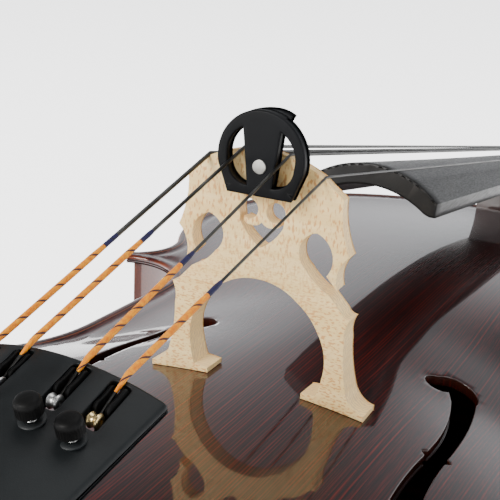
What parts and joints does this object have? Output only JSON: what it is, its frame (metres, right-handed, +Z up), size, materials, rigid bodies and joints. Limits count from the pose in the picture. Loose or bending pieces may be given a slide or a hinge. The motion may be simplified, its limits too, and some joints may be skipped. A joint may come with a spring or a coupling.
{
  "type": "cello",
  "caption": "Full-size cello with strings, tailpiece with fine tuners, endpin, and a removable round mute on its bridge.",
  "frame": {"origin": "middle of the box around the cello, on the surface it lies on, endpin pushed in", "axes": "+Z up from back to bridge, +Y towards the scroll, +X towards the A string"},
  "size_m": [0.44, 1.302, 0.2814],
  "materials": {
    "top_varnish": "glossy deep red-brown varnish on spruce",
    "back_varnish": "glossy deep red-brown varnish on flamed maple",
    "bare_spruce": "bare planed spruce",
    "ebony": "polished black ebony",
    "bridge_maple": "bare maple with small rays",
    "mute_rubber": "satin black rubber",
    "magnet_nickel": "satin nickel",
    "string_steel": "fine flat winding",
    "silk_orange": "bound silk",
    "silk_blue": "bound silk",
    "tailpiece_composite": "fine satin texture",
    "tuner_black": "satin",
    "screw_steel": "turned",
    "ball_brass": "polished",
    "gut_cord": "twisted cord",
    "rod_steel": "ground",
    "tip_rubber": "matte",
    "clamp_brass": "knurled"
  },
  "bodies": {
    "cello_body": {"top_plate_bass": "top_varnish", "top_plate_treble": "top_varnish", "back_plate_bass": "back_varnish", "back_plate_treble": "back_varnish", "lower_rib_bass": "back_varnish", "lower_rib_treble": "back_varnish", "centre_rib_bass": "back_varnish", "centre_rib_treble": "back_varnish", "upper_rib_bass": "back_varnish", "upper_rib_treble": "back_varnish", "top_block": "bare_spruce", "bottom_block": "bare_spruce", "corner_blocks": "bare_spruce", "top_linings": "bare_spruce", "back_linings": "bare_spruce", "bass_bar": "bare_spruce", "sound_post": "bare_spruce", "neck": "back_varnish", "fingerboard": "ebony", "nut": "ebony", "saddle": "ebony", "bridge": "bridge_maple", "tailpiece": "tailpiece_composite", "tuner_pins": "screw_steel", "tailgut": "gut_cord", "endpin_socket": "ebony", "string_c": "string_steel", "string_g": "string_steel", "string_d": "string_steel", "string_a": "string_steel"},
    "peg_c_body": {"peg_c": "ebony", "string_coil_c": "string_steel"},
    "peg_a_body": {"peg_a": "ebony", "string_coil_a": "string_steel"},
    "peg_g_body": {"peg_g": "ebony", "string_coil_g": "string_steel"},
    "peg_d_body": {"peg_d": "ebony", "string_coil_d": "string_steel"},
    "tuner_screw_c_body": {"tuner_screw_c": "screw_steel"},
    "tuner_knob_c_body": {"tuner_knob_c": "tuner_black"},
    "tuner_lever_c_body": {"tuner_lever_c": "tuner_black", "ball_end_c": "ball_brass"},
    "tuner_screw_g_body": {"tuner_screw_g": "screw_steel"},
    "tuner_knob_g_body": {"tuner_knob_g": "tuner_black"},
    "tuner_lever_g_body": {"tuner_lever_g": "tuner_black", "ball_end_g": "screw_steel"},
    "tuner_screw_d_body": {"tuner_screw_d": "screw_steel"},
    "tuner_knob_d_body": {"tuner_knob_d": "tuner_black"},
    "tuner_lever_d_body": {"tuner_lever_d": "tuner_black", "ball_end_d": "screw_steel"},
    "tuner_screw_a_body": {"tuner_screw_a": "screw_steel"},
    "tuner_knob_a_body": {"tuner_knob_a": "tuner_black"},
    "tuner_lever_a_body": {"tuner_lever_a": "tuner_black", "ball_end_a": "ball_brass"},
    "mute_body": {"mute": "mute_rubber", "mute_magnet": "magnet_nickel"},
    "endpin_body": {"endpin_rod": "rod_steel", "endpin_tip": "tip_rubber"},
    "endpin_screw_body": {"endpin_screw": "clamp_brass"}
  },
  "joints": [
    {"name": "peg_c_turn", "type": "hinge", "parent": "cello_body", "child": "peg_c_body", "pos_m": [-0.03, 0.47622, 0.10839], "axis": [-1, 0, 0], "continuous": true},
    {"name": "peg_a_turn", "type": "hinge", "parent": "cello_body", "child": "peg_a_body", "pos_m": [0.03, 0.50305, 0.1004], "axis": [1, 0, 0], "continuous": true},
    {"name": "peg_g_turn", "type": "hinge", "parent": "cello_body", "child": "peg_g_body", "pos_m": [-0.03, 0.53372, 0.09126], "axis": [-1, 0, 0], "continuous": true},
    {"name": "peg_d_turn", "type": "hinge", "parent": "cello_body", "child": "peg_d_body", "pos_m": [0.03, 0.56439, 0.08212], "axis": [1, 0, 0], "continuous": true},
    {"name": "tuner_screw_c_travel", "type": "slide", "parent": "cello_body", "child": "tuner_screw_c_body", "axis": [0, -0.2857, 0.9583], "range_m": [-0.00125, 0.00125]},
    {"name": "tuner_knob_c_turn", "type": "hinge", "parent": "tuner_screw_c_body", "child": "tuner_knob_c_body", "pos_m": [-0.0212, -0.37193, 0.21428], "axis": [0, -0.2857, 0.9583], "range_deg": [-906, 906]},
    {"name": "tuner_lever_c_tilt", "type": "hinge", "parent": "cello_body", "child": "tuner_lever_c_body", "pos_m": [-0.0212, -0.35465, 0.21933], "axis": [1, 0, 0], "range_deg": [-4.1, 4.1]},
    {"name": "tuner_screw_g_travel", "type": "slide", "parent": "cello_body", "child": "tuner_screw_g_body", "axis": [0, -0.2857, 0.9583], "range_m": [-0.00125, 0.00125]},
    {"name": "tuner_knob_g_turn", "type": "hinge", "parent": "tuner_screw_g_body", "child": "tuner_knob_g_body", "pos_m": [-0.0093, -0.37259, 0.2165], "axis": [0, -0.2857, 0.9583], "range_deg": [-906, 906]},
    {"name": "tuner_lever_g_tilt", "type": "hinge", "parent": "cello_body", "child": "tuner_lever_g_body", "pos_m": [-0.0093, -0.35531, 0.22155], "axis": [1, 0, 0], "range_deg": [-4.1, 4.1]},
    {"name": "tuner_screw_d_travel", "type": "slide", "parent": "cello_body", "child": "tuner_screw_d_body", "axis": [0, -0.2857, 0.9583], "range_m": [-0.00125, 0.00125]},
    {"name": "tuner_knob_d_turn", "type": "hinge", "parent": "tuner_screw_d_body", "child": "tuner_knob_d_body", "pos_m": [0.0093, -0.37259, 0.2165], "axis": [0, -0.2857, 0.9583], "range_deg": [-906, 906]},
    {"name": "tuner_lever_d_tilt", "type": "hinge", "parent": "cello_body", "child": "tuner_lever_d_body", "pos_m": [0.0093, -0.35531, 0.22155], "axis": [1, 0, 0], "range_deg": [-4.1, 4.1]},
    {"name": "tuner_screw_a_travel", "type": "slide", "parent": "cello_body", "child": "tuner_screw_a_body", "axis": [0, -0.2857, 0.9583], "range_m": [-0.00125, 0.00125]},
    {"name": "tuner_knob_a_turn", "type": "hinge", "parent": "tuner_screw_a_body", "child": "tuner_knob_a_body", "pos_m": [0.0212, -0.37193, 0.21428], "axis": [0, -0.2857, 0.9583], "range_deg": [-906, 906]},
    {"name": "tuner_lever_a_tilt", "type": "hinge", "parent": "cello_body", "child": "tuner_lever_a_body", "pos_m": [0.0212, -0.35465, 0.21933], "axis": [1, 0, 0], "range_deg": [-4.1, 4.1]},
    {"name": "mute_slide", "type": "slide", "parent": "cello_body", "child": "mute_body", "axis": [0, -0.9648, -0.2631], "range_m": [0, 0.085]},
    {"name": "endpin_slide", "type": "slide", "parent": "cello_body", "child": "endpin_body", "axis": [0, -1, 0], "range_m": [0, 0.33]},
    {"name": "endpin_screw_turn", "type": "hinge", "parent": "cello_body", "child": "endpin_screw_body", "pos_m": [0, -0.609, 0.10165], "axis": [0, 0, 1], "range_deg": [0, 720]}
  ],
  "couplings": [
    {"joint": "tuner_knob_c_turn", "follows": "tuner_screw_c_travel", "rad_per_m": 12566},
    {"joint": "tuner_lever_c_tilt", "follows": "tuner_screw_c_travel", "rad_per_m": -55.556},
    {"joint": "tuner_knob_g_turn", "follows": "tuner_screw_g_travel", "rad_per_m": 12566},
    {"joint": "tuner_lever_g_tilt", "follows": "tuner_screw_g_travel", "rad_per_m": -55.556},
    {"joint": "tuner_knob_d_turn", "follows": "tuner_screw_d_travel", "rad_per_m": 12566},
    {"joint": "tuner_lever_d_tilt", "follows": "tuner_screw_d_travel", "rad_per_m": -55.556},
    {"joint": "tuner_knob_a_turn", "follows": "tuner_screw_a_travel", "rad_per_m": 12566},
    {"joint": "tuner_lever_a_tilt", "follows": "tuner_screw_a_travel", "rad_per_m": -55.556}
  ]
}
